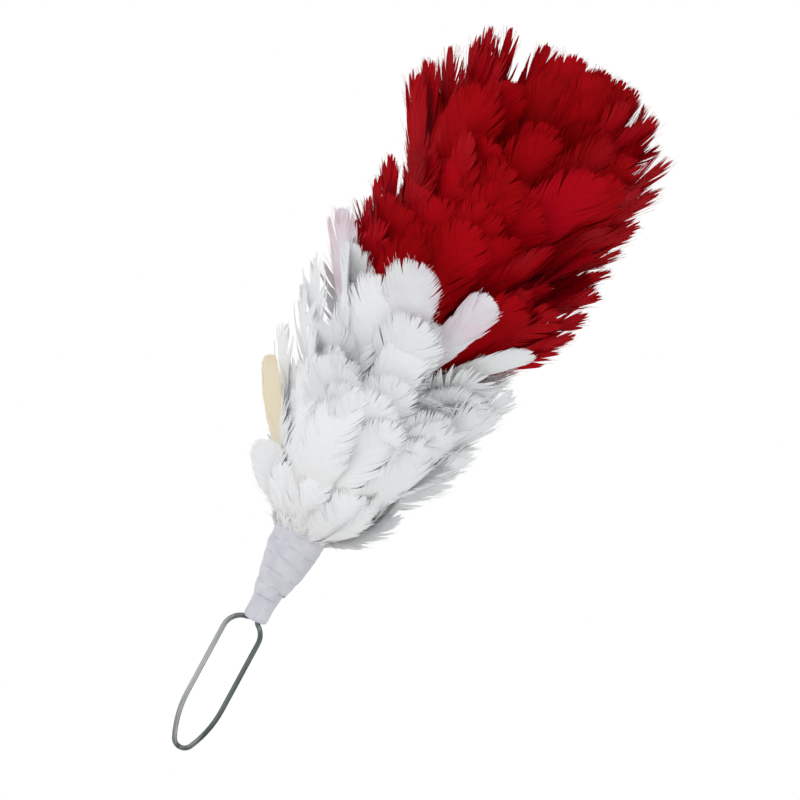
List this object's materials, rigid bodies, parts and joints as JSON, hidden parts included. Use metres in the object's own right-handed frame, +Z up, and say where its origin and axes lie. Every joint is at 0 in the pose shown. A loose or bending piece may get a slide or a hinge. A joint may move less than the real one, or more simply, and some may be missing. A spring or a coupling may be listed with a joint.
{
  "type": "feather hackle",
  "caption": "Upright two-colour feather plume for a military cap, bound on a steel wire core, with a tape-wrapped stem and a narrow wire loop that slides behind the badge.",
  "frame": {"origin": "centre of the stem's lower end, where the wire loop's shoulders meet the tape", "axes": "+Z up the plume, +X across the loop, in its plane, +Y from front to back through the loop"},
  "size_m": [0.0599, 0.0596, 0.1888],
  "materials": {
    "steel_wire": "drawn galvanised wire, dull bright",
    "cotton_tape": "fine woven cotton tape, matt",
    "quill_butts": "packed keratin quill ends, matt",
    "thread": "waxed linen thread",
    "white_feather": "soft feather, satin sheen",
    "red_feather": "dyed feather, satin sheen"
  },
  "bodies": {
    "root": {"crest": "red_feather", "crest_binding": "thread", "downy_skirt": "white_feather", "end_band": "cotton_tape", "red_binding_01": "thread", "red_binding_02": "thread", "red_binding_03": "thread", "red_binding_04": "thread", "red_binding_05": "thread", "red_binding_06": "thread", "red_binding_07": "thread", "red_binding_08": "thread", "red_binding_09": "thread", "red_binding_10": "thread", "red_binding_11": "thread", "red_row_01": "red_feather", "red_row_02": "red_feather", "red_row_03": "red_feather", "red_row_04": "red_feather", "red_row_05": "red_feather", "red_row_06": "red_feather", "red_row_07": "red_feather", "red_row_08": "red_feather", "red_row_09": "red_feather", "red_row_10": "red_feather", "red_row_11": "red_feather", "stem_core": "quill_butts", "stem_tape": "cotton_tape", "white_binding_01": "thread", "white_binding_02": "thread", "white_binding_03": "thread", "white_binding_04": "thread", "white_binding_05": "thread", "white_binding_06": "thread", "white_binding_07": "thread", "white_row_01": "white_feather", "white_row_02": "white_feather", "white_row_03": "white_feather", "white_row_04": "white_feather", "white_row_05": "white_feather", "white_row_06": "white_feather", "white_row_07": "white_feather", "wire_loop": "steel_wire"}
  },
  "joints": []
}
